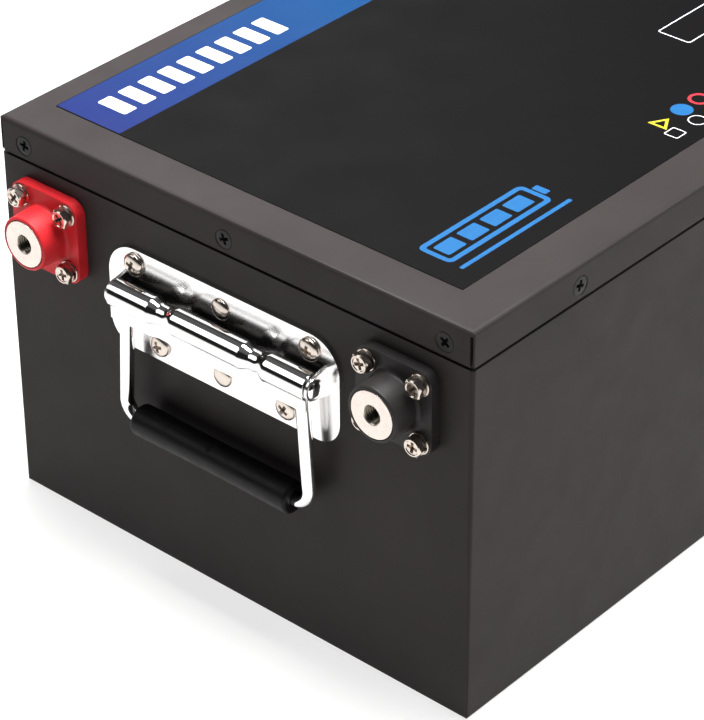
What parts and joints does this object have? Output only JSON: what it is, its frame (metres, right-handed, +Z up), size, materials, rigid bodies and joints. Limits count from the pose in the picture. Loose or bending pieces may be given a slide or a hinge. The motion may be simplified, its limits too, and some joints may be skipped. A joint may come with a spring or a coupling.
{
  "type": "battery pack",
  "caption": "Steel-cased lithium battery pack with front terminal posts, a screwed-on lid, a printed lid film and sprung folding handles at the ends.",
  "frame": {"origin": "centre of the case's bottom face", "axes": "+Z up, +Y towards the far end (the terminal end faces -Y), +X across the width with the positive post at -X"},
  "size_m": [0.252, 0.4329, 0.1843],
  "materials": {
    "powder_coat": "fine-texture black powder coat",
    "black_screw": "black oxide",
    "foam": "closed-cell foam",
    "zinc_steel": "zinc plated",
    "label": "printed satin film",
    "red_plastic": "moulded, satin",
    "black_plastic": "moulded, satin",
    "nickel": "nickel plated",
    "chrome": "bright chrome plate",
    "spring_steel": "drawn wire",
    "rubber": "smooth moulded rubber",
    "cell_wrap": "shrink film over an aluminium can",
    "card": "glass-epoxy sheet",
    "aluminium": "milled",
    "copper": "bare copper",
    "circuit_board": "solder mask",
    "brass": "turned",
    "red_cable": "silicone jacket",
    "black_cable": "silicone jacket",
    "sense_wire": "insulated wire"
  },
  "bodies": {
    "pack": {"case_tub": "powder_coat", "lid": "powder_coat", "lid_gasket": "foam", "lid_screws_front": "black_screw", "lid_screws_back": "black_screw", "lid_screws_left": "black_screw", "lid_screws_right": "black_screw", "lid_nuts": "zinc_steel", "label_film": "label", "insulator_positive": "red_plastic", "insulator_negative": "black_plastic", "post_positive": "nickel", "post_negative": "nickel", "terminal_screws": "nickel", "terminal_spring_washers": "nickel", "terminal_flat_washers": "nickel", "terminal_nuts": "zinc_steel", "post_inner_washers": "black_plastic", "post_inner_nuts": "zinc_steel", "handle_plate_front": "chrome", "hinge_pin_front": "chrome", "hinge_springs_front": "spring_steel", "handle_screws_front": "nickel", "handle_rivets_front": "nickel", "handle_backing_front": "zinc_steel", "handle_plate_back": "chrome", "hinge_pin_back": "chrome", "hinge_springs_back": "spring_steel", "handle_screws_back": "nickel", "handle_rivets_back": "nickel", "handle_backing_back": "zinc_steel", "handle_nuts": "zinc_steel", "base_pad": "foam", "top_pad": "foam", "side_pads": "foam", "cell_1": "cell_wrap", "cell_2": "cell_wrap", "cell_3": "cell_wrap", "cell_4": "cell_wrap", "cell_cards": "card", "cell_posts": "aluminium", "busbars": "copper", "busbar_nuts": "zinc_steel", "busbar_cover": "card", "end_plates": "aluminium", "straps": "zinc_steel", "bms_board": "circuit_board", "bms_components": "black_plastic", "bms_standoffs": "brass", "cable_positive": "red_cable", "cable_negative": "black_cable", "sense_harness": "sense_wire", "temperature_sensor": "black_plastic"},
    "bail_front": {"hinge_leaf_front": "chrome", "bail_rod_front": "chrome", "grip_front": "rubber"},
    "bail_back": {"hinge_leaf_back": "chrome", "bail_rod_back": "chrome", "grip_back": "rubber"}
  },
  "joints": [
    {"name": "bail_front_hinge", "type": "hinge", "parent": "pack", "child": "bail_front", "pos_m": [0, -0.2086, 0.1321], "axis": [-1, 0, 0], "range_deg": [0, 90], "stiffness_Nm_per_rad": 0.2, "springref_deg": -34.38},
    {"name": "bail_back_hinge", "type": "hinge", "parent": "pack", "child": "bail_back", "pos_m": [0, 0.2086, 0.1321], "axis": [1, 0, 0], "range_deg": [0, 90], "stiffness_Nm_per_rad": 0.2, "springref_deg": -34.38}
  ]
}
